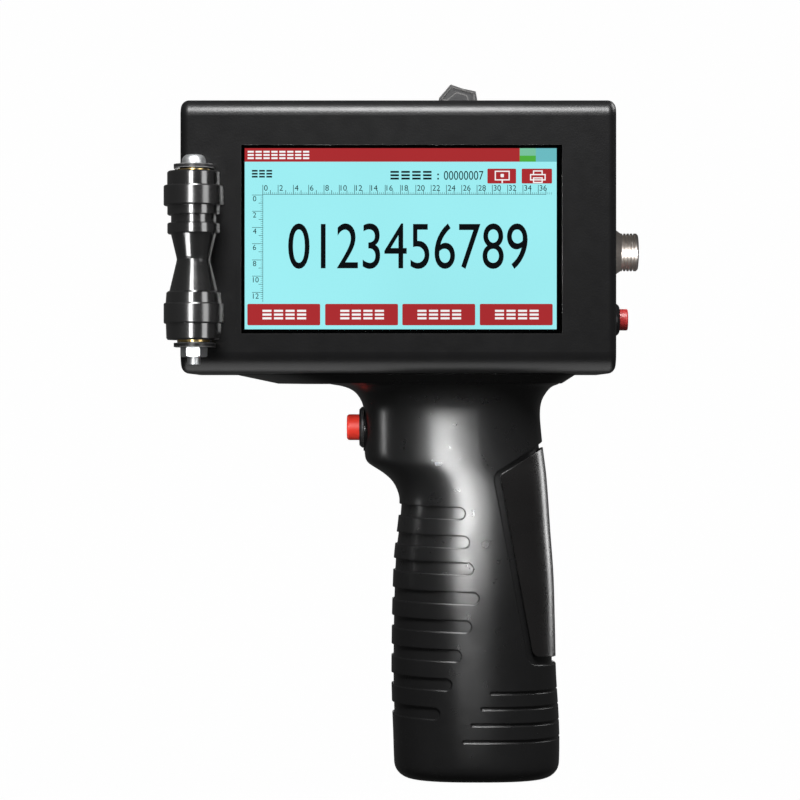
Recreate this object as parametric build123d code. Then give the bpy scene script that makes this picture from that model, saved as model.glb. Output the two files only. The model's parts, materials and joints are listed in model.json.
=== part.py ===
from build123d import *
import math
import os

# Handheld date-code inkjet printer.  Millimetres, +Z up, origin at the centre of the grip's
# flat base.  The screen faces -Y and the printing side, with its two guide rollers, is -X.

os.makedirs("parts", exist_ok=True)

# ---------------------------------------------------------------- driving dimensions

# box housing
BODY_LEFT, BODY_RIGHT = -90.5, 41.5
BODY_FRONT, BODY_REAR = -30.0, 30.0
BODY_BOTTOM, BODY_TOP = 125.5, 208.5
WALL = 2.2
FRONT_TOP_RADIUS = 5.0
FRONT_BOTTOM_RADIUS = 6.5
REAR_RADIUS = 4.0
SIDE_RADIUS = 2.5
SEAM_Y = -10.5
SEAM_WIDTH, SEAM_DEPTH = 0.6, 0.5
INNER_FRONT = BODY_FRONT + WALL
INNER_REAR = BODY_REAR - WALL
INNER_LEFT = BODY_LEFT + WALL
INNER_RIGHT = BODY_RIGHT - WALL
INNER_BOTTOM = BODY_BOTTOM + WALL
INNER_TOP = BODY_TOP - WALL

# case screws
CASE_SCREW_X = (-74.0, 33.0)
CASE_SCREW_Z = (132.0, 202.0)
CASE_BOSS_RADIUS = 4.2
CASE_HEAD_SEAT_Y = 6.0

# screen
SCREEN_X, SCREEN_Z = -23.5, 166.1
WINDOW_WIDTH, WINDOW_HEIGHT = 97.0, 57.0
PANEL_WIDTH, PANEL_HEIGHT = 105.5, 67.2
WINDOW_WALL = 1.2
GASKET_THICKNESS = 0.5
GLASS_THICKNESS = 1.8
DISPLAY_THICKNESS = 3.4
BOARD_GAP = 3.0
BOARD_THICKNESS = 1.6

# guide rollers
ROLLER_X, ROLLER_Y = -85.4, 41.0
EAR_GAP_LOW, EAR_GAP_HIGH = 134.5, 186.5
SHEET = 1.2
EAR_RADIUS = 6.0
WEB_LEFT, WEB_RIGHT = -90.4, -81.0
BOLT_RADIUS = 2.0
ROLLER_END_GAP = 0.3
TYRE_RADIUS = 9.0
TYRE_SEAT_RADIUS = 7.0
BUSH_RADIUS = 4.0
BUSH_LENGTH = 7.0
BUSH_FLANGE = 0.6
NUT_FLATS, NUT_HEIGHT = 7.0, 3.0
BOLT_END = 127.6

# cartridge side
CARTRIDGE_X = (-80.0, -18.0)
CARTRIDGE_Y = (-8.5, 16.5)
CARTRIDGE_Z = (143.0, 193.0)
NOZZLE_Y, NOZZLE_Z = 4.0, 160.0
PLATE_THICKNESS = 1.5
PLATE_Z = (134.0, 187.0)
PLATE_HALF_WIDTH = 22.0

# rear hatch
HATCH_X = (-70.0, 0.0)
HATCH_Z = (140.0, 196.0)
HATCH_THICKNESS = 2.4
HATCH_GAP = 0.5
LEDGE = 2.5
HINGE_X, HINGE_Y = 2.5, 32.6
KNUCKLE_RADIUS = 2.2
HINGE_PIN_RADIUS = 1.0
HATCH_KNUCKLE_Z = (155.0, 181.0)
KNUCKLE_GAP = 0.4
SHELL_KNUCKLE = 7.0
LATCH_X, LATCH_Z = -62.5, 168.0
LATCH_SPINDLE_RADIUS = 2.5
LATCH_KNOB_RADIUS = 7.0

# rocker switch on top
ROCKER_X, ROCKER_Z = -5.9, 209.0
ROCKER_TILT = 15.5
ROCKER_HALF_WIDTH = 3.65
SWITCH_HALF_LENGTH, SWITCH_HALF_WIDTH = 7.7, 5.25
SWITCH_DEPTH = 12.0

# right-hand side
SOCKET_Z = 163.7
SOCKET_RADIUS = 5.9
SOCKET_END = 50.3
POWER_Z = 142.6
POWER_CAP_RADIUS = 3.35
USB_Y, USB_Z = 18.0, 152.0

# trigger
TRIGGER_Z = 109.0
TRIGGER_PAD_X = -35.4
TRIGGER_NUT_SEAT = -31.9
TRIGGER_CAP_RADIUS = 4.05
TRIGGER_BARREL_RADIUS = 5.0

RUNNING_FIT = 0.03
PUSH_GAP = 0.1

# grip outline as (height, position) pairs: the nozzle-side edge, the back edge, half depth
GRIP_LEFT = [
    (0, -25.7), (12, -26.1), (32, -26.7), (52, -26.5), (70, -25.8), (81, -24.5), (86.5, -24.2),
    (91, -25.6), (94.4, -28.7), (96.4, -31.7), (98.2, -34.2), (100.6, -35.0), (115.5, -35.5),
    (118.9, -37.1), (120.6, -39.0), (121.7, -41.6), (122.6, -46.5),
]
GRIP_RIGHT = [
    (0, 25.6), (14, 25.8), (31, 24.8), (43, 24.5), (62, 24.0), (76, 23.0), (93, 21.8),
    (106.5, 20.2), (113.7, 19.7), (116.7, 20.1), (119.9, 21.7), (121.6, 23.4), (122.6, 25.6),
]
GRIP_HALF_DEPTH = [
    (0, 20.6), (30, 19.6), (52, 19.2), (75, 19.0), (100, 19.5), (113, 19.9), (118, 20.7),
    (121, 21.6), (122.6, 22.4),
]
FLANGE_BOTTOM = 122.6
NECK_TOP = 116.5
GRIP_LEVELS = [
    5.5, 12, 22, 32, 42, 52, 61, 70, 76, 81, 84, 87, 89.5, 92, 94.2, 96.2, 98.2, 100.6, 104,
    108, 112, 115.5, 117.8, 119.6, 121, 122, FLANGE_BOTTOM,
]
GRIP_ROUNDNESS = 2.6
GRIP_BASE_RADIUS = 4.8
GRIP_WALL = 3.0
GROOVE_DEPTH = 0.65
LINE_DEPTH = 0.5
STRAP_DEPTH = 1.2

# finger grooves: height and inner end of each, from the top one down
FINGER_GROOVES = [
    (82.7, -4.0), (73.9, -2.7), (65.7, -1.5), (56.6, 0.3),
    (48.0, -2.1), (39.1, -5.2), (30.3, -8.1), (21.4, -11.7),
]
FINGER_GROOVE_HEIGHT = 3.8
GRIP_LINES = [(27.7, 3.6), (23.0, 0.8), (18.0, -2.2), (12.9, -4.8)]
GRIP_LINE_HEIGHT = 0.9

# grip screws join the halves, neck screws hold the housing on the grip
GRIP_SCREWS = [(-14.0, 8.6), (12.0, 8.6), (-4.0, 94.0), (8.0, 113.0)]
GRIP_BOSS_END = 15.5
NECK_SCREWS = [(-27.0, -7.0), (-27.0, 7.0), (12.5, -7.0), (12.5, 7.0)]
PASSAGE_X = (-17.0, 7.0)
PASSAGE_Y = (-7.5, 7.5)

# battery pack
CELL_RADIUS, CELL_LENGTH = 9.1, 65.0
CELL_X = (-10.4, 8.4)
CELL_BOTTOM = 15.0

# ---------------------------------------------------------------- helpers


def block(x_range, y_range, z_range):
    """Rectangular block between two values on each axis."""
    ranges = (x_range, y_range, z_range)
    middle = [(low + high) / 2 for low, high in ranges]
    size = [high - low for low, high in ranges]
    return Pos(*middle) * Box(*size)


def rod_x(low, high, radius, y, z):
    """Round bar along X."""
    return Pos((low + high) / 2, y, z) * Rot(0, 90, 0) * Cylinder(radius, high - low)


def rod_y(low, high, radius, x, z):
    """Round bar along Y."""
    return Pos(x, (low + high) / 2, z) * Rot(90, 0, 0) * Cylinder(radius, high - low)


def rod_z(low, high, radius, x, y):
    """Round bar along Z."""
    return Pos(x, y, (low + high) / 2) * Cylinder(radius, high - low)


def prism_y(outline, y_low, y_high):
    """A closed XZ outline, given as corner points, extruded from y_low to y_high."""
    face = make_face(Polyline(*[(x, y_low, z) for x, z in outline], close=True))
    return extrude(face, amount=y_high - y_low, dir=(0, 1, 0))


def turned_x(points, y, z):
    """A body of revolution about an X axis; points are (x, radius)."""
    face = make_face(Polyline(*[(x, y, z + radius) for x, radius in points], close=True))
    return revolve(face, Axis((0, y, z), (1, 0, 0)))


def turned_z(points, x, y):
    """A body of revolution about a Z axis; points are (radius, z)."""
    face = make_face(Polyline(*[(x + radius, y, z) for radius, z in points], close=True))
    return revolve(face, Axis((x, y, 0), (0, 0, 1)))


def smooth_value(profile, level):
    """Monotone cubic curve through (level, value) pairs, read at one level."""
    slopes = []
    for (a, u), (b, v) in zip(profile, profile[1:]):
        slopes.append((v - u) / (b - a))
    tangents = [slopes[0]]
    for before, after in zip(slopes, slopes[1:]):
        same_way = before * after > 0
        tangents.append(2 * before * after / (before + after) if same_way else 0.0)
    tangents.append(slopes[-1])
    for i, ((a, u), (b, v)) in enumerate(zip(profile, profile[1:])):
        if level <= b or b == profile[-1][0]:
            t = (level - a) / (b - a)
            rise = (3 * t * t - 2 * t ** 3) * (v - u)
            start = (t ** 3 - 2 * t * t + t) * (b - a) * tangents[i]
            end = (t ** 3 - t * t) * (b - a) * tangents[i + 1]
            return u + rise + start + end


def grip_section(level, inset, side):
    """One side of the grip's rounded cross-section, a little past the joint plane."""
    left = smooth_value(GRIP_LEFT, level) + inset
    right = smooth_value(GRIP_RIGHT, level) - inset
    depth = smooth_value(GRIP_HALF_DEPTH, level) - inset
    middle, half = (left + right) / 2, (right - left) / 2
    points = []
    steps = 16
    for step in range(-1, steps + 2):
        angle = math.pi * step / steps
        c, s = math.cos(angle), math.sin(angle)
        x = middle + half * math.copysign(abs(c) ** (2 / GRIP_ROUNDNESS), c)
        y = depth * math.copysign(abs(s) ** (2 / GRIP_ROUNDNESS), s)
        points.append((x, side * y, level))
    return make_face([Spline(*points), Line(points[-1], points[0])])


def grip_form(inset, side):
    """One side of the grip's form up to the neck, pulled in by inset."""
    levels = [GRIP_WALL] + [z for z in GRIP_LEVELS if z < NECK_TOP] + [NECK_TOP]
    return loft([grip_section(z, inset, side) for z in levels])


def grip_form_with_base(side):
    """One side of the grip's outside, with the round edge of its base."""
    sections = []
    for step in range(5):
        angle = math.pi / 2 * step / 5
        level = GRIP_BASE_RADIUS * (1 - math.cos(angle))
        sections.append(grip_section(level, GRIP_BASE_RADIUS * (1 - math.sin(angle)), side))
    sections += [grip_section(z, 0.0, side) for z in GRIP_LEVELS]
    return loft(sections)


def half_space(side):
    """Everything on one side of the grip's joint plane."""
    return block((-150, 150), sorted((0, side * 80)), (-50, 250))


# ---------------------------------------------------------------- housing shells


def housing_block(inset, top_front, bottom_front, rear):
    """The housing's box with its long edges rounded."""
    body = block(
        (BODY_LEFT + inset, BODY_RIGHT - inset),
        (BODY_FRONT + inset, BODY_REAR - inset),
        (BODY_BOTTOM + inset, BODY_TOP - inset),
    )
    long_edges = body.edges().filter_by(Axis.X)
    rear_edges = long_edges.sort_by(Axis.Y)[-2:]
    body = fillet(rear_edges, rear)
    front_edges = body.edges().filter_by(Axis.X).sort_by(Axis.Y)[:2].sort_by(Axis.Z)
    body = fillet(front_edges[:1], bottom_front)
    front_edge = body.edges().filter_by(Axis.X).filter_by(
        lambda e: e.center().Y < BODY_FRONT + inset + 0.01
    ).sort_by(Axis.Z)[-1:]
    return fillet(front_edge, top_front)


def housing_outer(inset=0.0):
    """The housing's outside, with the edges of its two end faces rounded."""
    body = housing_block(
        inset, FRONT_TOP_RADIUS - inset, FRONT_BOTTOM_RADIUS - inset, REAR_RADIUS - inset
    )
    ends = body.faces().sort_by(Axis.X)
    return fillet(ends[0].edges() + ends[-1].edges(), SIDE_RADIUS - inset)


def housing_hollow_shell():
    """Both shells as one, hollow and with the seam line cut round the outside."""
    cavity = housing_block(
        WALL, FRONT_TOP_RADIUS - 2, FRONT_BOTTOM_RADIUS - 2, REAR_RADIUS - 2
    )
    seam = block(
        (BODY_LEFT - 5, BODY_RIGHT + 5),
        (SEAM_Y - SEAM_WIDTH / 2, SEAM_Y + SEAM_WIDTH / 2),
        (BODY_BOTTOM - 5, BODY_TOP + 5),
    )
    return housing_outer() - cavity - (seam - housing_outer(SEAM_DEPTH))


def case_screw_places():
    return [(x, z) for x in CASE_SCREW_X for z in CASE_SCREW_Z]


def make_front_shell(shell):
    part = shell & block((-200, 200), (BODY_FRONT - 5, SEAM_Y), (100, 300))
    boss_front = -22.0
    for x, z in case_screw_places():
        # each boss reaches the floor or the roof through a rib
        part += rod_y(boss_front, SEAM_Y, CASE_BOSS_RADIUS - 0.6, x, z)
        rib_z = (INNER_BOTTOM - 0.5, z) if z < SCREEN_Z else (z, INNER_TOP + 0.5)
        part += block((x - 1.2, x + 1.2), (boss_front, SEAM_Y), rib_z)
        part -= rod_y(boss_front + 2, SEAM_Y + 1, 1.25, x, z)
    # window and the thinned rim that takes the gasket
    half_w, half_h = WINDOW_WIDTH / 2, WINDOW_HEIGHT / 2
    part -= block(
        (SCREEN_X - half_w, SCREEN_X + half_w), (-40, -20), (SCREEN_Z - half_h, SCREEN_Z + half_h)
    )
    rim_w, rim_h = PANEL_WIDTH / 2 + 0.5, PANEL_HEIGHT / 2 + 0.5
    part -= block(
        (SCREEN_X - rim_w, SCREEN_X + rim_w),
        (BODY_FRONT + WINDOW_WALL, INNER_FRONT + 1),
        (SCREEN_Z - rim_h, SCREEN_Z + rim_h),
    )
    for z in (155.0, 163.5):
        part -= rod_y(BODY_FRONT - 1, INNER_FRONT + 1, 1.3, bracket_screw_x(), z)
    return part - nozzle_plate_holes()


def bracket_screw_x():
    return (WEB_LEFT + WEB_RIGHT) / 2


def nozzle_plate_screw_places():
    inset = 4.0
    ys = (-PLATE_HALF_WIDTH + inset, PLATE_HALF_WIDTH - inset)
    zs = (PLATE_Z[0] + inset, PLATE_Z[1] - inset)
    return [(y, z) for y in ys for z in zs]


def nozzle_plate_holes():
    holes = [rod_x(BODY_LEFT - 1, INNER_LEFT + 1, 1.0, y, z) for y, z in nozzle_plate_screw_places()]
    return Part() + holes


def make_rear_shell(shell):
    part = shell & block((-200, 200), (SEAM_Y, BODY_REAR + 5), (100, 300))
    for x, z in case_screw_places():
        part += rod_y(SEAM_Y, INNER_REAR + 0.5, CASE_BOSS_RADIUS, x, z)
        part -= rod_y(CASE_HEAD_SEAT_Y, BODY_REAR + 1, 2.9, x, z)
        part -= rod_y(SEAM_Y - 1, BODY_REAR, 1.6, x, z)
    # ledge round the hatch, then the pocket and the way through
    x0, x1 = HATCH_X
    z0, z1 = HATCH_Z
    part += block((x0 - 3, x1 + 3), (INNER_REAR - 2.4, INNER_REAR + 0.1), (z0 - 3, z1 + 3))
    part -= block(
        (x0 - HATCH_GAP, x1 + HATCH_GAP),
        (BODY_REAR - HATCH_THICKNESS - HATCH_GAP, BODY_REAR + 1),
        (z0 - HATCH_GAP, z1 + HATCH_GAP),
    )
    part -= block((x0 + LEDGE, x1 - LEDGE), (20, BODY_REAR + 1), (z0 + LEDGE, z1 - LEDGE))
    part += shell_knuckles()
    # opening for the cartridge's snout
    part -= block(
        (BODY_LEFT - 1, INNER_LEFT + 1),
        (NOZZLE_Y - 10.5, NOZZLE_Y + 10.5),
        (NOZZLE_Z - 12.5, NOZZLE_Z + 12.5),
    )
    # switch, socket, button and data port
    part -= block(
        (ROCKER_X - 6.6, ROCKER_X + 6.6), (-4.35, 4.35), (INNER_TOP - 1, BODY_TOP + 1)
    )
    part -= rod_y(-4.7, 4.7, 1.4, ROCKER_X, ROCKER_Z)
    part -= rod_x(INNER_RIGHT - 1, BODY_RIGHT + 1, SOCKET_RADIUS + 0.1, 0, SOCKET_Z)
    part -= rod_x(INNER_RIGHT - 1, BODY_RIGHT + 1, 4.3, 0, POWER_Z)
    part -= block(
        (INNER_RIGHT - 1, BODY_RIGHT + 1), (USB_Y - 7.4, USB_Y + 7.4), (USB_Z - 3.6, USB_Z + 3.6)
    )
    for z in (155.0, 163.5):
        part -= rod_y(INNER_REAR - 1, BODY_REAR + 1, 1.3, bracket_screw_x(), z)
    # leads pass through the floor into the grip
    part -= block(PASSAGE_X, PASSAGE_Y, (BODY_BOTTOM - 1, INNER_BOTTOM + 1))
    for x, y in NECK_SCREWS:
        part -= rod_z(BODY_BOTTOM - 1, INNER_BOTTOM + 1, 1.7, x, y)
    return part - nozzle_plate_holes()


def shell_knuckles():
    """The two fixed hinge knuckles, each on a foot on the rear face."""
    low, high = HATCH_KNUCKLE_Z
    spans = [
        (low - KNUCKLE_GAP - SHELL_KNUCKLE, low - KNUCKLE_GAP),
        (high + KNUCKLE_GAP, high + KNUCKLE_GAP + SHELL_KNUCKLE),
    ]
    knuckles = Part()
    for span in spans:
        knuckle = rod_z(*span, KNUCKLE_RADIUS, HINGE_X, HINGE_Y)
        knuckle += block((HINGE_X, HINGE_X + 3.6), (BODY_REAR - 0.5, HINGE_Y), span)
        knuckles += knuckle
    pin_span = (spans[0][0] - 1, spans[1][1] + 1)
    return knuckles - rod_z(*pin_span, HINGE_PIN_RADIUS, HINGE_X, HINGE_Y)


# ---------------------------------------------------------------- screen and electronics


def centred_panel(width, height, y_low, y_high):
    return block(
        (SCREEN_X - width / 2, SCREEN_X + width / 2),
        (y_low, y_high),
        (SCREEN_Z - height / 2, SCREEN_Z + height / 2),
    )


GASKET_FRONT = BODY_FRONT + WINDOW_WALL
GLASS_FRONT = GASKET_FRONT + GASKET_THICKNESS
DISPLAY_FRONT = GLASS_FRONT + GLASS_THICKNESS
DISPLAY_BACK = DISPLAY_FRONT + DISPLAY_THICKNESS
BOARD_FRONT = DISPLAY_BACK + BOARD_GAP
BOARD_BACK = BOARD_FRONT + BOARD_THICKNESS
HEADER_TOP = BOARD_BACK + 5.5
BOARD_X = (-67.5, 26.5)
BOARD_Z = (137.5, 197.5)
BOARD_HOLES = [(x, z) for x in (BOARD_X[0] + 3.5, BOARD_X[1] - 3.5) for z in (141.5, 193.5)]


def make_window_gasket():
    outer = centred_panel(PANEL_WIDTH, PANEL_HEIGHT, GASKET_FRONT, GLASS_FRONT)
    return outer - centred_panel(
        WINDOW_WIDTH + 1.0, WINDOW_HEIGHT + 1.0, GASKET_FRONT - 1, GLASS_FRONT + 1
    )


def make_display_module():
    """Display panel in a folded metal tray, with its ribbon tail's connector bar behind."""
    panel = centred_panel(PANEL_WIDTH, PANEL_HEIGHT, DISPLAY_FRONT, DISPLAY_BACK)
    panel -= centred_panel(PANEL_WIDTH - 6, PANEL_HEIGHT - 6, DISPLAY_BACK - 0.6, DISPLAY_BACK + 1)
    low = SCREEN_Z - PANEL_HEIGHT / 2
    tail = (SCREEN_X - 14, SCREEN_X + 14)
    panel += block(tail, (DISPLAY_BACK - 1, DISPLAY_BACK), (low + 5, low + 12))
    for x, z in BOARD_HOLES:
        panel += rod_y(DISPLAY_BACK - 1, DISPLAY_BACK, 3.0, x, z)
    return panel


def make_main_board():
    board = block(BOARD_X, (BOARD_FRONT, BOARD_BACK), BOARD_Z)
    for x, z in BOARD_HOLES:
        board -= rod_y(BOARD_FRONT - 1, BOARD_BACK + 1, 1.35, x, z)
    return board


def make_board_components():
    """Shield can, processor, memory, capacitors, cell holder and plug headers."""
    pieces = [
        block((-52, -30), (BOARD_BACK, BOARD_BACK + 2.4), (158, 180)),
        block((-24, -12), (BOARD_BACK, BOARD_BACK + 1.4), (162, 174)),
        block((-24, -12), (BOARD_BACK, BOARD_BACK + 1.2), (178, 184)),
        block((-6, 4), (BOARD_BACK, HEADER_TOP), (139.5, 145.5)),
        block((-22, -13), (BOARD_BACK, HEADER_TOP), (137.6, 141.4)),
        block((8, 18), (BOARD_BACK, HEADER_TOP), (150, 156)),
        block((-62, -54), (BOARD_BACK, BOARD_BACK + 3.2), (186, 192)),
        rod_y(BOARD_BACK, BOARD_BACK + 3.2, 6.4, 14, 182),
    ]
    for index in range(4):
        pieces.append(rod_y(BOARD_BACK, BOARD_BACK + 6.0, 2.5, -58 + 8 * index, 148))
    return Compound(children=pieces)


def make_board_standoffs():
    """Four threaded standoffs and the screws that hold the board on them."""
    pieces = []
    for x, z in BOARD_HOLES:
        hexagon = RegularPolygon(2.4, 6, major_radius=False)
        post = extrude(Plane.XZ.offset(-DISPLAY_BACK) * Pos(x, z) * hexagon, amount=-BOARD_GAP)
        screw = rod_y(BOARD_BACK, BOARD_BACK + 1.4, 2.2, x, z)
        screw += rod_y(BOARD_FRONT - 2, BOARD_BACK, 1.25, x, z)
        screw -= block((x - 1.6, x + 1.6), (BOARD_BACK + 0.8, BOARD_BACK + 2), (z - 0.35, z + 0.35))
        pieces += [post - rod_y(DISPLAY_BACK + 0.5, BOARD_FRONT, 1.25, x, z), screw]
    return Compound(children=pieces)


def pan_screw_y(x, z, seat, point, head_radius, head_height, shank_radius):
    """Cross-slot pan-head screw along Y: head beyond seat, shank on the other side of it."""
    way = 1 if seat > point else -1
    top = seat + way * head_height
    head = rod_y(min(seat, top), max(seat, top), head_radius, x, z)
    rim = head.faces().sort_by(Axis.Y)[-1 if way > 0 else 0].edges()
    head = fillet(rim, head_height * 0.6)
    slot_y = (min(top, top - way * 0.8) - 0.01, max(top, top - way * 0.8) + 0.01)
    reach = head_radius * 0.6
    head -= block((x - reach, x + reach), slot_y, (z - 0.4, z + 0.4))
    head -= block((x - 0.4, x + 0.4), slot_y, (z - reach, z + reach))
    return head + rod_y(min(seat, point), max(seat, point), shank_radius, x, z)


def make_case_screws():
    return Compound(children=[
        pan_screw_y(x, z, CASE_HEAD_SEAT_Y, -19.0, 2.7, 2.0, 1.25) for x, z in case_screw_places()
    ])


# ---------------------------------------------------------------- cartridge and print side


def make_ink_cartridge():
    """Ink tank with a stepped snout towards the nozzle window, and a finger tab."""
    body = block(CARTRIDGE_X, CARTRIDGE_Y, CARTRIDGE_Z)
    body = fillet(body.edges().filter_by(Axis.Y), 2.5)
    tab = block(
        (CARTRIDGE_X[1] - 10, CARTRIDGE_X[1] + 3), (CARTRIDGE_Y[1] - 3, CARTRIDGE_Y[1]), (162, 174)
    )
    shoulder = block((-86.0, CARTRIDGE_X[0] + 1), (NOZZLE_Y - 9.5, NOZZLE_Y + 9.5), (148.5, 171.5))
    snout = block((-91.0, -85.0), (NOZZLE_Y - 8.5, NOZZLE_Y + 8.5), (149.5, 170.5))
    lid_line = block((-81, -17), (CARTRIDGE_Y[0] + 3.6, CARTRIDGE_Y[0] + 4.2), (142, 194))
    depth = 0.5
    lid_line -= block(
        (CARTRIDGE_X[0] + depth, CARTRIDGE_X[1] - depth),
        (-20, 20),
        (CARTRIDGE_Z[0] + depth, CARTRIDGE_Z[1] - depth),
    )
    return body - lid_line + tab + shoulder + snout


def make_nozzle_strip():
    """Gold-coloured nozzle strip on the snout with its two nozzle rows as shallow slots."""
    strip = block((-91.3, -91.0), (NOZZLE_Y - 5.0, NOZZLE_Y + 5.0), (NOZZLE_Z - 9, NOZZLE_Z + 9))
    for offset in (-1.6, 1.6):
        y = NOZZLE_Y + offset
        strip -= block((-91.4, -91.15), (y - 0.25, y + 0.25), (NOZZLE_Z - 6.35, NOZZLE_Z + 6.35))
    return strip


def make_nozzle_plate():
    """Steel plate over the printing side, with the nozzle window and countersunk holes."""
    outer_x = BODY_LEFT - PLATE_THICKNESS
    plate = block((outer_x, BODY_LEFT), (-PLATE_HALF_WIDTH, PLATE_HALF_WIDTH), PLATE_Z)
    plate = fillet(plate.edges().filter_by(Axis.X), 3.0)
    plate -= block((-95, -85), (NOZZLE_Y - 10, NOZZLE_Y + 10), (NOZZLE_Z - 12, NOZZLE_Z + 12))
    window = plate.edges().filter_by(
        lambda e: abs(e.center().X - outer_x) < 0.01
        and abs(e.center().Y - NOZZLE_Y) < 10.1
        and abs(e.center().Z - NOZZLE_Z) < 12.1
    )
    plate = chamfer(window, 0.6)
    for y, z in nozzle_plate_screw_places():
        plate -= turned_x([(-95, 0), (-95, 2.0), (outer_x, 2.0), (BODY_LEFT - 0.4, 1.1),
                           (BODY_LEFT + 1, 1.1), (BODY_LEFT + 1, 0)], y, z)
    return plate


def make_nozzle_plate_screws():
    outer_x = BODY_LEFT - PLATE_THICKNESS
    screws = []
    for y, z in nozzle_plate_screw_places():
        screw = turned_x([(outer_x + 0.05, 0), (outer_x + 0.05, 1.95), (BODY_LEFT - 0.4, 1.0),
                          (-84.5, 1.0), (-84.5, 0)], y, z)
        screw -= block((outer_x - 1, outer_x + 0.5), (y - 1.5, y + 1.5), (z - 0.25, z + 0.25))
        screws.append(screw)
    return Compound(children=screws)


def make_cartridge_cradle():
    """Tray under the cartridge, a wall in front of it and an arm for the contact board."""
    x0, x1 = CARTRIDGE_X[0] + 1, CARTRIDGE_X[1] + 12
    y0, y1 = CARTRIDGE_Y[0] - 2.0, CARTRIDGE_Y[1] + 1.0
    z0 = CARTRIDGE_Z[0]
    cradle = block((x0, x1), (y0, y1), (z0 - 2.4, z0 - 0.2))
    cradle += block((x0, x1), (y0, y0 + 1.6), (z0 - 2.4, CARTRIDGE_Z[1] + 2.2))
    cradle += block((x0, x1 - 12), (y0, y1 - 6), (CARTRIDGE_Z[1] + 0.2, CARTRIDGE_Z[1] + 2.2))
    for x in (-62, -48, -33):
        cradle += block((x - 1, x + 1), (y0, y1), (INNER_BOTTOM, z0 - 2.3))
    arm = block((-88.2, x0 + 0.5), (y0, y0 + 1.6), (174, CARTRIDGE_Z[1]))
    return cradle + arm


def make_contact_board():
    return block((-87.8, -86.4), (-8.4, 13.5), (174.5, 192.5))


def make_contact_pins():
    """Spring pins that press on the cartridge's contact pads."""
    pins = []
    for y in (-4, 0, 4, 8):
        for z in (178.0, 182.5, 187.0):
            pin = rod_x(-86.4, -83.4, 0.9, y, z)
            pins.append(pin + rod_x(-83.5, CARTRIDGE_X[0], 0.45, y, z))
    return Compound(children=pins)


# ---------------------------------------------------------------- rear hatch


def make_cartridge_hatch():
    x0, x1 = HATCH_X
    z0, z1 = HATCH_Z
    inner_y = BODY_REAR - HATCH_THICKNESS
    hatch = block((x0, x1), (inner_y, BODY_REAR), (z0, z1))
    hatch = fillet(hatch.edges().filter_by(Axis.Y), 1.0)
    # shallow grip lines on the outside and a stiffening frame inside
    for step in range(6):
        z = 146.0 + 1.8 * step
        hatch -= block((x0 + 5, x0 + 17), (BODY_REAR - 0.5, BODY_REAR + 1), (z, z + 0.9))
    frame_y = (inner_y - 1.5, inner_y + 0.1)
    frame = block((x0 + 14, x1 - 4), frame_y, (z0 + 4, z1 - 4))
    frame -= block((x0 + 15.2, x1 - 5.2), (20, 40), (z0 + 5.2, z1 - 5.2))
    hatch += frame
    low, high = HATCH_KNUCKLE_Z
    arm_outline = [
        (x1 - 4.0, BODY_REAR - 0.4), (x1 - 4.0, BODY_REAR + 0.8), (HINGE_X - 0.3, HINGE_Y + 2.1),
        (HINGE_X + 0.6, HINGE_Y), (x1 - 0.4, BODY_REAR - 0.4),
    ]
    arm_face = make_face(Polyline(*[(x, y, low) for x, y in arm_outline], close=True))
    hatch += extrude(arm_face, amount=high - low, dir=(0, 0, 1))
    hatch += rod_z(low, high, KNUCKLE_RADIUS, HINGE_X, HINGE_Y)
    hatch -= rod_z(low - 1, high + 1, HINGE_PIN_RADIUS + RUNNING_FIT, HINGE_X, HINGE_Y)
    return hatch - rod_y(20, 40, LATCH_SPINDLE_RADIUS + RUNNING_FIT, LATCH_X, LATCH_Z)


def make_hatch_hinge_pin():
    low = HATCH_KNUCKLE_Z[0] - KNUCKLE_GAP - SHELL_KNUCKLE
    high = HATCH_KNUCKLE_Z[1] + KNUCKLE_GAP + SHELL_KNUCKLE
    pin = rod_z(low - 0.8, high, HINGE_PIN_RADIUS, HINGE_X, HINGE_Y)
    return pin + rod_z(high, high + 0.8, 1.7, HINGE_X, HINGE_Y)


def make_hatch_latch_knob():
    """Round knob with a finger bar across it, on the spindle through the hatch."""
    knob_low = BODY_REAR + 0.3
    knob = rod_y(knob_low, knob_low + 1.6, LATCH_KNOB_RADIUS, LATCH_X, LATCH_Z)
    knob = chamfer(knob.faces().sort_by(Axis.Y)[-1].edges(), 0.5)
    bar = block(
        (LATCH_X - 1.6, LATCH_X + 1.6),
        (knob_low + 1.5, knob_low + 4.4),
        (LATCH_Z - 6.0, LATCH_Z + 6.0),
    )
    bar = fillet(bar.edges().filter_by(Axis.Y), 1.5)
    spindle = rod_y(24.6, knob_low + 0.1, LATCH_SPINDLE_RADIUS, LATCH_X, LATCH_Z)
    return knob + bar + spindle


def make_hatch_latch_tongue():
    """Flat tongue on the spindle's inner end; it points up while the hatch is free."""
    tongue = block((LATCH_X - 3.2, LATCH_X + 3.2), (23.0, 24.6), (LATCH_Z - 3.2, LATCH_Z + 9.5))
    tongue = fillet(tongue.edges().filter_by(Axis.Y), 1.5)
    return tongue - rod_y(20, 30, 1.0, LATCH_X, LATCH_Z) + rod_y(21.8, 24.6, 1.0, LATCH_X, LATCH_Z)


# ---------------------------------------------------------------- guide rollers


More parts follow.
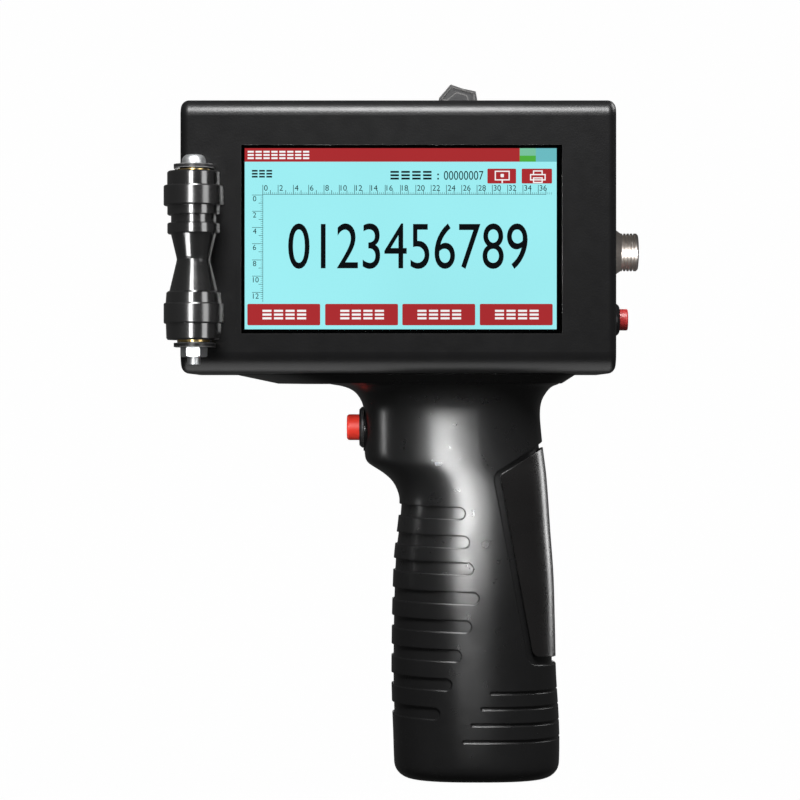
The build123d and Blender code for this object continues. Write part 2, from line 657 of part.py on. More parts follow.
def make_roller_bracket(side):
    """C-shaped sheet bracket: a web on the housing and two round-nosed ears."""
    face_y = side * BODY_REAR
    axis_y = side * ROLLER_Y
    ears = []
    for z in (EAR_GAP_LOW - SHEET, EAR_GAP_HIGH):
        span = (z, z + SHEET)
        ear = rod_z(*span, EAR_RADIUS, ROLLER_X, axis_y)
        root = sorted((face_y, axis_y))
        ear_sides = (ROLLER_X - EAR_RADIUS, ROLLER_X + EAR_RADIUS)
        ear += block(ear_sides, sorted((face_y + side * 3, axis_y)), span)
        ear += block((WEB_LEFT, WEB_RIGHT), root, span)
        ears.append(ear)
    web = block(
        (WEB_LEFT, WEB_RIGHT),
        sorted((face_y, face_y + side * SHEET)),
        (EAR_GAP_LOW - SHEET, EAR_GAP_HIGH + SHEET),
    )
    bracket = web + ears[0] + ears[1]
    bracket -= rod_z(120, 200, BOLT_RADIUS, ROLLER_X, axis_y)
    for z in (155.0, 163.5):
        bracket -= rod_y(*sorted((face_y - side, face_y + side * 3)), 1.6, bracket_screw_x(), z)
    return bracket


def make_bracket_screws():
    screws = []
    for side in (-1, 1):
        seat = side * (BODY_REAR + SHEET)
        for z in (155.0, 163.5):
            screws.append(pan_screw_y(bracket_screw_x(), z, seat, side * 25.5, 2.4, 1.3, 1.3))
    return Compound(children=screws)


def roller_bolt(y):
    """Pan-head bolt through both ears, with a cross slot in its head."""
    seat = EAR_GAP_HIGH + SHEET
    head = rod_z(seat, seat + 2.9, 3.6, ROLLER_X, y)
    head = fillet(head.faces().sort_by(Axis.Z)[-1].edges(), 2.0)
    for half_x, half_y in ((2.0, 0.4), (0.4, 2.0)):
        head -= block(
            (ROLLER_X - half_x, ROLLER_X + half_x), (y - half_y, y + half_y), (seat + 1.8, seat + 4)
        )
    shank = rod_z(BOLT_END, seat, BOLT_RADIUS, ROLLER_X, y)
    return head + chamfer(shank.faces().sort_by(Axis.Z)[0].edges(), 0.5)


def roller_nut(y):
    """Hexagon nut with both ends chamfered round."""
    high = EAR_GAP_LOW - SHEET
    low = high - NUT_HEIGHT
    hexagon = RegularPolygon(NUT_FLATS / 2, 6, major_radius=False)
    nut = extrude(Plane.XY.offset(low) * Pos(ROLLER_X, y) * hexagon, amount=NUT_HEIGHT)
    rounding = [(0, low), (3.6, low), (4.2, low + 0.5), (4.2, high - 0.3), (3.8, high), (0, high)]
    nut &= turned_z(rounding, ROLLER_X, y)
    return nut - rod_z(low - 1, high + 1, BOLT_RADIUS, ROLLER_X, y)


SPOOL_LOW = EAR_GAP_LOW + ROLLER_END_GAP + BUSH_FLANGE
SPOOL_HIGH = EAR_GAP_HIGH - ROLLER_END_GAP - BUSH_FLANGE
# spool outline from the top down as (radius, height)
SPOOL_OUTLINE = [
    (7.6, SPOOL_HIGH), (7.95, SPOOL_HIGH - 0.4), (7.95, 181.4), (TYRE_SEAT_RADIUS, 181.4),
    (TYRE_SEAT_RADIUS, 175.3), (7.9, 175.3), (7.9, 172.8), (7.6, 172.5), (6.8, 172.5),
    (6.8, 170.2), (7.6, 170.2), (7.9, 169.9), (7.9, 167.3), (7.6, 166.9), (6.85, 166.9),
    (5.25, 160.2), (5.1, 159.4), (5.25, 158.5), (7.3, 149.9), (7.6, 149.9), (8.2, 149.4),
    (8.4, 146.4), (TYRE_SEAT_RADIUS, 146.4), (TYRE_SEAT_RADIUS, 140.2), (8.35, 140.2),
    (8.2, SPOOL_LOW + 0.5), (7.8, SPOOL_LOW),
]


def make_roller_spool(side):
    y = side * ROLLER_Y
    spool = turned_z([(0, SPOOL_HIGH)] + SPOOL_OUTLINE + [(0, SPOOL_LOW)], ROLLER_X, y)
    spool -= rod_z(SPOOL_LOW - 1, SPOOL_HIGH + 1, BOLT_RADIUS + 0.6, ROLLER_X, y)
    bore_depth = BUSH_LENGTH - BUSH_FLANGE
    spool -= rod_z(SPOOL_HIGH - bore_depth, SPOOL_HIGH + 1, BUSH_RADIUS, ROLLER_X, y)
    spool -= rod_z(SPOOL_LOW - 1, SPOOL_LOW + bore_depth, BUSH_RADIUS, ROLLER_X, y)
    if side < 0:
        spool -= encoder_ring_form()
    return spool


def encoder_ring_form():
    ring = rod_z(SPOOL_LOW, SPOOL_LOW + 2.4, 6.4, ROLLER_X, -ROLLER_Y)
    return ring - rod_z(SPOOL_LOW - 1, SPOOL_LOW + 4, 5.0, ROLLER_X, -ROLLER_Y)


def make_roller_tyres(side):
    """Two rubber tyres with rounded shoulders."""
    tyres = []
    for low, high in ((140.2, 146.4), (175.3, 181.4)):
        tyre = rod_z(low, high, TYRE_RADIUS, ROLLER_X, side * ROLLER_Y)
        tyre = fillet(tyre.edges().filter_by(GeomType.CIRCLE), 0.5)
        tyres.append(tyre - rod_z(low - 1, high + 1, TYRE_SEAT_RADIUS, ROLLER_X, side * ROLLER_Y))
    return Compound(children=tyres)


def make_roller_bushes(side):
    """Flanged bushes, one pressed into each end of the spool."""
    y = side * ROLLER_Y
    bore = BOLT_RADIUS + RUNNING_FIT
    bushes = []
    for end, inward in ((SPOOL_HIGH, -1), (SPOOL_LOW, 1)):
        flange = sorted((end, end - inward * BUSH_FLANGE))
        sleeve = sorted((end, end + inward * (BUSH_LENGTH - BUSH_FLANGE)))
        bush = rod_z(*flange, 4.8, ROLLER_X, y) + rod_z(*sleeve, BUSH_RADIUS, ROLLER_X, y)
        bushes.append(bush - rod_z(130, 190, bore, ROLLER_X, y))
    return Compound(children=bushes)


def make_encoder_sensor():
    """Small sensor board behind the front wall, level with the encoder ring."""
    board = block((-87.6, -79.0), (INNER_FRONT, INNER_FRONT + 1.2), (134.0, 143.0))
    return board + block((-86.0, -82.5), (INNER_FRONT + 1.1, INNER_FRONT + 2.6), (136.5, 139.5))


# ---------------------------------------------------------------- rocker switch


def make_power_switch_body():
    """Snap-in switch body with a bezel on the roof and a well for the rocker."""
    top = BODY_TOP + 2.0
    bezel = block(
        (ROCKER_X - SWITCH_HALF_LENGTH, ROCKER_X + SWITCH_HALF_LENGTH),
        (-SWITCH_HALF_WIDTH, SWITCH_HALF_WIDTH),
        (BODY_TOP, top),
    )
    bezel = fillet(bezel.edges().filter_by(Axis.Z), 1.0)
    bezel = chamfer(bezel.faces().sort_by(Axis.Z)[-1].edges(), 0.5)
    low = BODY_TOP - SWITCH_DEPTH
    body = bezel + block((ROCKER_X - 6.5, ROCKER_X + 6.5), (-4.25, 4.25), (low, BODY_TOP))
    body = body - block((ROCKER_X - 5.9, ROCKER_X + 5.9), (-3.95, 3.95), (202.5, BODY_TOP))
    body = body - block((ROCKER_X - 6.8, ROCKER_X + 6.8), (-3.95, 3.95), (207.3, top + 1))
    body = body - rod_y(-4.6, 4.6, 1.0 + RUNNING_FIT, ROCKER_X, ROCKER_Z)
    for x in (ROCKER_X - 4.0, ROCKER_X + 4.0):
        body += block((x - 0.4, x + 0.4), (-2.4, 2.4), (low - 6.0, low + 0.1))
    return body


def make_power_rocker():
    """Tilting cap: a low ridge across the top, sloping ends, sunk side faces, side pins."""
    outline = [
        (-4.06, 6.03), (0.0, 5.75), (4.06, 6.03), (6.41, 1.03), (4.6, -2.0), (-4.6, -2.0),
        (-6.41, 1.03),
    ]
    cap = prism_y(outline, -ROCKER_HALF_WIDTH, ROCKER_HALF_WIDTH)
    cap = fillet(cap.edges().filter_by(Axis.Y).sort_by(Axis.Z)[-3:], 0.35)
    sunk = [(-3.55, 5.2), (3.55, 5.2), (5.4, 0.9), (-5.4, 0.9)]
    for low, high in ((-ROCKER_HALF_WIDTH - 1, -ROCKER_HALF_WIDTH + 0.5),
                      (ROCKER_HALF_WIDTH - 0.5, ROCKER_HALF_WIDTH + 1)):
        cap -= prism_y(sunk, low, high)
    raised = [(-1.6, 4.1), (1.6, 4.1), (4.0, 0.8), (-4.0, 0.8)]
    cap += prism_y(raised, -ROCKER_HALF_WIDTH + 0.15, ROCKER_HALF_WIDTH - 0.15)
    cap += rod_y(-4.5, 4.5, 1.0, 0, 0)
    return Pos(ROCKER_X, 0, ROCKER_Z) * Rot(0, ROCKER_TILT, 0) * cap


# ---------------------------------------------------------------- sockets and push buttons


def make_charge_socket_shell():
    """Threaded metal barrel with a cone flange outside; ridges stand for the thread."""
    root = SOCKET_RADIUS - 0.1
    outline = [(28.5, 0), (28.5, 5.0), (31.0, 5.0), (31.0, root), (BODY_RIGHT, root)]
    outline += [(BODY_RIGHT, 7.9), (42.1, 7.9), (45.0, SOCKET_RADIUS)]
    pitch = 1.04
    for ridge in range(4):
        start = 45.4 + pitch * ridge
        outline += [(start, SOCKET_RADIUS), (start + 0.15, SOCKET_RADIUS - 0.5),
                    (start + 0.4, SOCKET_RADIUS - 0.5), (start + 0.55, SOCKET_RADIUS)]
    outline += [(SOCKET_END - 0.5, SOCKET_RADIUS), (SOCKET_END, SOCKET_RADIUS - 0.5)]
    outline.append((SOCKET_END, 0))
    shell = turned_x(outline, 0, SOCKET_Z)
    shell -= rod_x(30.0, SOCKET_END + 1, 4.8, 0, SOCKET_Z)
    shell -= rod_x(28.0, 31.0, 4.0, 0, SOCKET_Z)
    return shell + block((45.5, 49.4), (-0.6, 0.6), (SOCKET_Z + 4.2, SOCKET_Z + 4.9))


SOCKET_PINS = [(2.2, 0.9), (-2.2, 0.9), (0.0, -2.4)]


def make_charge_socket_insert():
    insert = rod_x(31.0, 45.5, 4.8, 0, SOCKET_Z)
    for y, z in SOCKET_PINS:
        insert -= rod_x(30, 46, 0.6, y, SOCKET_Z + z)
    return insert


def make_charge_socket_pins():
    pins = []
    for y, z in SOCKET_PINS:
        pin = rod_x(26.5, 49.0, 0.6, y, SOCKET_Z + z)
        pins.append(fillet(pin.faces().sort_by(Axis.X)[-1].edges(), 0.4))
    return Compound(children=pins)


def ring_nut_x(low, high, radius, bore, z):
    """Round nut on an X axis with eight flats."""
    octagon = RegularPolygon(radius, 8, major_radius=False)
    nut = extrude(Plane.YZ.offset(low) * Pos(0, z) * octagon, amount=high - low)
    return nut - rod_x(low - 1, high + 1, bore, 0, z)


def make_charge_socket_nut():
    return ring_nut_x(36.9, INNER_RIGHT, 7.6, SOCKET_RADIUS - 0.1, SOCKET_Z)


def make_usb_socket():
    """Flush metal data socket with its contact tongue."""
    shell = block((27.5, BODY_RIGHT - 0.1), (USB_Y - 7.1, USB_Y + 7.1), (USB_Z - 3.3, USB_Z + 3.3))
    shell = fillet(shell.edges().filter_by(Axis.X), 0.5)
    shell -= block((29.0, BODY_RIGHT + 1), (USB_Y - 6.4, USB_Y + 6.4), (USB_Z - 2.6, USB_Z + 2.6))
    return shell + block((28.5, BODY_RIGHT - 1.5), (USB_Y - 5.9, USB_Y + 5.9), (USB_Z + 0.2, USB_Z + 2.0))


def dome_points(x_low, x_high, radius_low, radius_high, steps=6):
    """Quarter-round outline from the wide base out to the narrow top."""
    points = []
    for step in range(steps + 1):
        angle = math.pi / 2 * step / steps
        x = x_low + (x_high - x_low) * math.sin(angle)
        points.append((x, radius_high + (radius_low - radius_high) * math.cos(angle)))
    return points


def make_power_button_body():
    """Domed flange outside the wall, barrel inside, blind bore for the cap."""
    bore = POWER_CAP_RADIUS + PUSH_GAP
    outline = [(27.0, 0), (27.0, 3.9), (31.0, 3.9), (31.0, 4.2), (41.5, 4.2)]
    outline += dome_points(BODY_RIGHT, 44.6, 5.5, 3.75)
    outline += [(44.6, 0)]
    body = turned_x(outline, 0, POWER_Z)
    return body - rod_x(36.0, 50, bore, 0, POWER_Z)


def make_power_button_cap():
    cap = rod_x(40.6, 47.2, POWER_CAP_RADIUS, 0, POWER_Z)
    cap = fillet(cap.faces().sort_by(Axis.X)[-1].edges(), 0.4)
    return cap


def make_power_button_nut():
    return ring_nut_x(37.0, INNER_RIGHT, 5.8, 4.2, POWER_Z)


def make_trigger_body():
    """Flanged barrel through the grip's front wall, with a blind bore for the cap."""
    x = TRIGGER_PAD_X
    barrel = TRIGGER_BARREL_RADIUS
    outline = [(x - 1.3, 0), (x - 1.3, 5.6), (x - 0.5, 6.4), (x, 6.4), (x, barrel), (-21.0, barrel),
               (-21.0, 4.4), (-18.0, 4.4), (-18.0, 0)]
    body = turned_x(outline, 0, TRIGGER_Z)
    return body - rod_x(x - 2, -28.0, TRIGGER_CAP_RADIUS + PUSH_GAP, 0, TRIGGER_Z)


def make_trigger_cap():
    cap = rod_x(-40.6, -33.6, TRIGGER_CAP_RADIUS, 0, TRIGGER_Z)
    return fillet(cap.faces().sort_by(Axis.X)[0].edges(), 0.9)


def make_trigger_nut():
    return ring_nut_x(TRIGGER_NUT_SEAT, TRIGGER_NUT_SEAT + 2.5, 6.8, TRIGGER_BARREL_RADIUS, TRIGGER_Z)


def coil_spring_x(x_low, x_high, radius, wire, turns, z):
    """Helical spring along X between two faces."""
    length = x_high - x_low - wire
    pitch = length / turns
    path = Helix(pitch, length, radius, center=(x_low + wire / 2, 0, z), direction=(1, 0, 0))
    start = path @ 0
    section = Plane(origin=start, z_dir=path % 0) * Circle(wire / 2)
    return sweep(section, path, is_frenet=True)


# ---------------------------------------------------------------- grip


def slot_prism(x_end, z, height, rise):
    """Long slot from beyond the front edge to x_end, with a round inner end."""
    length = 60.0
    bar = block((-length, 0), (-40, 40), (-height / 2, height / 2))
    bar += rod_y(-40, 40, height / 2, 0, 0)
    return Pos(x_end - height / 2, 0, z) * Rot(0, rise, 0) * bar


def line_prism(x_end, z):
    """Narrow slot from x_end out past the back edge, with a round end."""
    half = GRIP_LINE_HEIGHT / 2
    bar = block((x_end + half, 60), (-40, 40), (z - half, z + half))
    return bar + rod_y(-40, 40, half, x_end + half, z)


def strap_prism(corners, radii):
    """The back insert's side outline, extended past the back edge, through the whole depth."""
    outline = prism_y(corners, -40, 40)
    edges = outline.edges().filter_by(Axis.Y)
    for (x, z), radius in radii:
        near = [e for e in edges if (e.center() - Vector(x, 0, z)).length < 0.01]
        outline = fillet(near, radius)
        edges = outline.edges().filter_by(Axis.Y)
    return outline


def strap_recess_prism():
    corners = [(45.0, 119.8), (4.5, 94.8), (15.4, 36.2), (45.0, 33.5)]
    return strap_prism(corners, [((4.5, 94.8), 3.0), ((15.4, 36.2), 3.5)])


def strap_insert_prism():
    corners = [(45.0, 116.9), (6.6, 94.6), (17.0, 38.6), (45.0, 35.9)]
    return strap_prism(corners, [((6.6, 94.6), 1.5), ((17.0, 38.6), 2.5)])


def flange_outline(level, left, right, depth):
    """Outline of the flange: straight flanks, round back corners, bowed nozzle end."""
    corner = 6.0
    mid_arc = corner * 0.293
    bow_start = left + 26.0
    back = Line((right, corner - depth, level), (right, depth - corner, level))
    arcs, flanks = [], []
    for side in (-1, 1):
        arcs.append(ThreePointArc(
            (right, side * (depth - corner), level),
            (right - mid_arc, side * (depth - mid_arc), level),
            (right - corner, side * depth, level),
        ))
        flanks.append(Line((right - corner, side * depth, level), (bow_start, side * depth, level)))
    bow = Spline(
        (bow_start, -depth, level), (left + 6.0, -depth * 0.62, level), (left, 0, level),
        (left + 6.0, depth * 0.62, level), (bow_start, depth, level),
        tangents=[(-1, 0, 0), (1, 0, 0)],
    )
    return make_face([back, bow] + arcs + flanks)


def flange_form():
    """Flange under the housing, undercut towards its edge."""
    low = flange_outline(FLANGE_BOTTOM, -62.0, 25.7, 22.5)
    high = flange_outline(BODY_BOTTOM, -75.7, 30.1, 24.6)
    return loft([low, high], ruled=True)


def make_grip_half(side):
    """One half of the grip; the rear one takes the screw heads."""
    core_shallow = grip_form(LINE_DEPTH, side)
    core_groove = grip_form(GROOVE_DEPTH, side)
    core_strap = grip_form(STRAP_DEPTH, side)
    space = block((-150, 150), sorted((-side, side * 80)), (-50, 250))
    grip = grip_form_with_base(side)
    grip += rod_x(TRIGGER_PAD_X, -30.0, 7.4, 0, TRIGGER_Z) & space

    cuts = [(strap_recess_prism() & space) - core_strap]
    for z, x in FINGER_GROOVES:
        cuts.append((slot_prism(x, z, FINGER_GROOVE_HEIGHT, 2.0) & space) - core_groove)
    for z, x in GRIP_LINES:
        cuts.append((line_prism(x, z) & space) - core_shallow)
    cuts.append(block((-80, 60), (-0.3, 0.3), (8, 98)) - core_shallow)
    cuts.append(grip_form(GRIP_WALL, side))
    grip -= cuts

    grip = (grip + flange_form()) & half_space(side)
    grip -= block(PASSAGE_X, PASSAGE_Y, (110, BODY_BOTTOM + 1))
    for x, z in GRIP_SCREWS:
        grip += rod_y(*sorted((0, side * GRIP_BOSS_END)), 3.6, x, z)
    for x, y in NECK_SCREWS:
        if y * side > 0:
            grip += rod_z(108.0, 120.0, 3.4, x, y)
            grip -= rod_z(112.0, BODY_BOTTOM + 1, 1.25, x, y)
    for x, z in GRIP_SCREWS:
        if side > 0:
            grip -= rod_y(2.0, 40, 2.9, x, z)
            grip -= rod_y(-1.0, 3.0, 1.6, x, z)
        else:
            grip -= rod_y(-10.0, 1.0, 1.25, x, z)
    # trigger: flange seat, hole for the barrel and flat inside face for the nut
    grip -= rod_x(TRIGGER_PAD_X - 6, TRIGGER_PAD_X, 6.6, 0, TRIGGER_Z)
    grip -= rod_x(TRIGGER_PAD_X - 1, -25, TRIGGER_BARREL_RADIUS, 0, TRIGGER_Z)
    return grip - rod_x(TRIGGER_NUT_SEAT, -25, 7.7, 0, TRIGGER_Z)


def make_back_insert():
    """Insert that wraps round the back of both halves in one piece."""
    insert = Part()
    for side in (-1, 1):
        layer = strap_insert_prism() & half_space(side)
        layer = (layer - grip_form(STRAP_DEPTH, side)) & grip_form(0.0, side)
        insert += layer
    return insert


def make_grip_screws():
    screws = [pan_screw_y(x, z, 2.0, -9.5, 2.7, 2.0, 1.25) for x, z in GRIP_SCREWS]
    return Compound(children=screws)


def make_neck_screws():
    """Screws from inside the housing down into the grip's bosses."""
    screws = []
    for x, y in NECK_SCREWS:
        head = rod_z(INNER_BOTTOM, INNER_BOTTOM + 2.0, 2.7, x, y)
        head = fillet(head.faces().sort_by(Axis.Z)[-1].edges(), 1.0)
        head -= block((x - 1.6, x + 1.6), (y - 0.4, y + 0.4), (INNER_BOTTOM + 1.2, INNER_BOTTOM + 3))
        screws.append(head + rod_z(112.5, INNER_BOTTOM, 1.25, x, y))
    return Compound(children=screws)


# ---------------------------------------------------------------- battery and leads


def make_battery_cells():
    """Two round cells with a raised top terminal."""
    cells = []
    for x in CELL_X:
        cell = rod_z(CELL_BOTTOM, CELL_BOTTOM + CELL_LENGTH, CELL_RADIUS, x, 0)
        cell = fillet(cell.edges().filter_by(GeomType.CIRCLE), 0.8)
        top = CELL_BOTTOM + CELL_LENGTH
        cells.append(cell + rod_z(top - 0.1, top + 0.8, 3.2, x, 0))
    return Compound(children=cells)


def make_battery_cradle():
    """Open frame that holds the cells off the grip's walls, with rings at both ends."""
    middle = sum(CELL_X) / 2
    half = (CELL_X[1] - CELL_X[0]) / 2
    pieces = Part()
    for z in (CELL_BOTTOM + 4, CELL_BOTTOM + CELL_LENGTH - 14):
        outer = CELL_RADIUS + 1.4
        ring = block((middle - half, middle + half), (-outer, outer), (z, z + 10))
        for x in CELL_X:
            ring += rod_z(z, z + 10, outer, x, 0)
        pieces += ring
    for y in (-CELL_RADIUS - 0.7, CELL_RADIUS + 0.7):
        strip_z = (CELL_BOTTOM + 4, CELL_BOTTOM + CELL_LENGTH - 4)
        pieces += block((middle - 3, middle + 3), (y - 0.7, y + 0.7), strip_z)
    bore = CELL_RADIUS + 0.05
    for x in CELL_X:
        pieces -= rod_z(0, 100, bore, x, 0)
    return pieces - block((middle - half, middle + half), (-6.5, 6.5), (0, 100))


def make_battery_tabs():
    """Nickel strips: one joins the cells below, two lead off above."""
    low = CELL_BOTTOM
    high = CELL_BOTTOM + CELL_LENGTH + 0.8
    pieces = [block((CELL_X[0] - 4, CELL_X[1] + 4), (-3.5, 3.5), (low - 0.3, low))]
    for x in CELL_X:
        pieces.append(block((x - 3.5, x + 3.5), (-3.5, 3.5), (high, high + 0.3)))
    return Compound(children=pieces)


def bend_radii(points):
    """The largest arc each bend's two runs allow, from the shorter run and the turn."""
    radii = []
    for before, corner, after in zip(points, points[1:], points[2:]):
        run_in = Vector(*corner) - Vector(*before)
        run_out = Vector(*after) - Vector(*corner)
        turn = math.radians(run_in.get_angle(run_out))
        shorter = min(run_in.length, run_out.length)
        radii.append(0.45 * shorter / math.tan(turn / 2))
    return radii


def lead(name, points, diameter):
    """Insulated wire along straight runs joined by tangent arcs."""
    radii = bend_radii(points)
    path = FilletPolyline(*points, radius=radii)
    first = Vector(*points[1]) - Vector(*points[0])
    section = Plane(origin=points[0], z_dir=first) * Circle(diameter / 2)
    tube = sweep(section, path)
    print(name, "length", round(path.length, 1), "radii", [round(r, 1) for r in radii])
    return tube


def make_battery_leads():
    """Two wires from the cell tops through the neck to the board."""
    routes = []
    for x, shift in ((CELL_X[0], -1.1), (CELL_X[1], 1.1)):
        routes.append([
            (x, 0.0, CELL_BOTTOM + CELL_LENGTH + 1.1), (x, 0.0, 88.0), (x * 0.5 - 3, -1.0, 99.0),
            (-5.0 + shift, 0.0, 112.0), (-4.0 + shift, 1.5, 124.0), (-2.0 + shift, -0.5, 134.0),
            (-1.0 + shift, -7.0, 142.5), (-1.0 + shift, HEADER_TOP, 142.5),
        ])
    return Compound(children=[lead("battery lead", route, 1.6) for route in routes])


def make_trigger_leads():
    """Two thin wires from the trigger's back up through the neck to the board."""
    routes = []
    for y in (-1.6, 1.6):
        routes.append([
            (-18.0, y, TRIGGER_Z), (-13.0, y, TRIGGER_Z), (-10.6, y * 1.6, 115.0),
            (-10.0, y * 1.8, 124.0), (-11.5, y * 1.4 - 1.0, 131.5), (-17.5 + y, -6.0, 138.6),
            (-17.5 + y, HEADER_TOP, 138.6),
        ])
    return Compound(children=[lead("trigger lead", route, 1.2) for route in routes])


def make_socket_leads():
    """Two wires from the charging socket's pins to the board."""
    routes = []
    for y, z in SOCKET_PINS[:2]:
        height = SOCKET_Z + z
        routes.append([
            (26.5, y, height), (22.0, y, height), (16.0, y - 3.5, height - 5.0),
            (13.0 + y, -8.0, 153.0), (13.0 + y, HEADER_TOP, 153.0),
        ])
    return Compound(children=[lead("socket lead", route, 1.4) for route in routes])


# ---------------------------------------------------------------- build everything

shell = housing_hollow_shell()

parts = {
    "front_shell": make_front_shell(shell),
    "rear_shell": make_rear_shell(shell),
    "window_gasket": make_window_gasket(),
    "touch_panel": centred_panel(PANEL_WIDTH, PANEL_HEIGHT, GLASS_FRONT, DISPLAY_FRONT),
    "display_module": make_display_module(),
    "main_board": make_main_board(),
    "board_components": make_board_components(),
    "board_standoffs": make_board_standoffs(),
    "case_screws": make_case_screws(),
    "ink_cartridge": make_ink_cartridge(),
    "cartridge_nozzle_strip": make_nozzle_strip(),
    "nozzle_plate": make_nozzle_plate(),
    "nozzle_plate_screws": make_nozzle_plate_screws(),
    "cartridge_cradle": make_cartridge_cradle(),
    "contact_board": make_contact_board(),
    "contact_pins": make_contact_pins(),
    "cartridge_hatch": make_cartridge_hatch(),
    "hatch_hinge_pin": make_hatch_hinge_pin(),
    "hatch_latch_knob": make_hatch_latch_knob(),
    "hatch_latch_tongue": make_hatch_latch_tongue(),
    "bracket_screws": make_bracket_screws(),
    "roller_bolts": Compound(children=[roller_bolt(y) for y in (-ROLLER_Y, ROLLER_Y)]),
    "roller_nuts": Compound(children=[roller_nut(y) for y in (-ROLLER_Y, ROLLER_Y)]),
    "encoder_ring": encoder_ring_form(),
    "encoder_sensor": make_encoder_sensor(),
    "power_switch_body": make_power_switch_body(),
    "power_rocker": make_power_rocker(),
    "charge_socket_shell": make_charge_socket_shell(),
    "charge_socket_insert": make_charge_socket_insert(),
    "charge_socket_pins": make_charge_socket_pins(),
    "charge_socket_nut": make_charge_socket_nut(),
    "usb_socket": make_usb_socket(),
    "power_button_body": make_power_button_body(),
    "power_button_cap": make_power_button_cap(),
    "power_button_nut": make_power_button_nut(),
    "power_button_spring": coil_spring_x(36.0, 40.6, 2.2, 0.4, 3.5, POWER_Z),
    "trigger_body": make_trigger_body(),
    "trigger_cap": make_trigger_cap(),
    "trigger_nut": make_trigger_nut(),
    "trigger_spring": coil_spring_x(-33.6, -28.0, 2.8, 0.5, 4.0, TRIGGER_Z),
    "grip_front": make_grip_half(-1),
    "grip_rear": make_grip_half(1),
    "back_insert": make_back_insert(),
    "grip_screws": make_grip_screws(),
    "neck_screws": make_neck_screws(),
    "battery_cells": make_battery_cells(),
    "battery_cradle": make_battery_cradle(),
    "battery_tabs": make_battery_tabs(),
    "battery_leads": make_battery_leads(),
    "trigger_leads": make_trigger_leads(),
    "socket_leads": make_socket_leads(),
}

for end, side in (("front", -1), ("rear", 1)):
    parts[end + "_roller_bracket"] = make_roller_bracket(side)
    parts[end + "_roller_spool"] = make_roller_spool(side)
    parts[end + "_roller_tyres"] = make_roller_tyres(side)
    parts[end + "_roller_bushes"] = make_roller_bushes(side)

for name, part in parts.items():
    export_step(part, os.path.join("parts", name + ".step"))
print(len(parts), "nodes written")
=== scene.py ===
import json
import math

import bmesh
import bpy
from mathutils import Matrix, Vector


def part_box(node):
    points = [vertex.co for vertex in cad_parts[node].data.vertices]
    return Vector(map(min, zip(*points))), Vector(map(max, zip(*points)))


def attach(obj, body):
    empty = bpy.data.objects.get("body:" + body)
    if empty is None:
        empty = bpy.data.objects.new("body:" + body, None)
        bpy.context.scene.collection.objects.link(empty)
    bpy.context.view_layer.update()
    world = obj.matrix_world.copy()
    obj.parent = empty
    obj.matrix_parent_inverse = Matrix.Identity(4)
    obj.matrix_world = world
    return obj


# Looks of the handheld date-code printer.  Metres, in the CAD part's own frame: +Z up, the
# screen faces -Y, the grip stands on z = 0.

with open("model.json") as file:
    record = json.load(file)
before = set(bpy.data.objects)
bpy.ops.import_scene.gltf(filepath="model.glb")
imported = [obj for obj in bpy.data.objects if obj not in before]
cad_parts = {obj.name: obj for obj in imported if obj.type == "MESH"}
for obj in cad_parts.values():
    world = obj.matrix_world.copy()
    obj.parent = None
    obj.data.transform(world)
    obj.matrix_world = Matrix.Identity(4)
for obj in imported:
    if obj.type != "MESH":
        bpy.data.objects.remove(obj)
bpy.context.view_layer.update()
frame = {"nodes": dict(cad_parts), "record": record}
MM = 0.001

# ------------------------------------------------------------------ camera

CAMERA_DISTANCE = 0.850
CAMERA_X, CAMERA_Z = -0.024, 0.1175
CAMERA_LENS = 122.2


def make_camera():
    data = bpy.data.cameras.new("camera")
    data.lens = CAMERA_LENS
    data.sensor_width = 36.0
    camera = bpy.data.objects.new("camera", data)
    camera.location = (CAMERA_X, -CAMERA_DISTANCE, CAMERA_Z)
    camera.rotation_euler = (math.radians(90), 0, 0)
    bpy.context.scene.collection.objects.link(camera)
    bpy.context.scene.camera = camera


# ------------------------------------------------------------------ node helpers


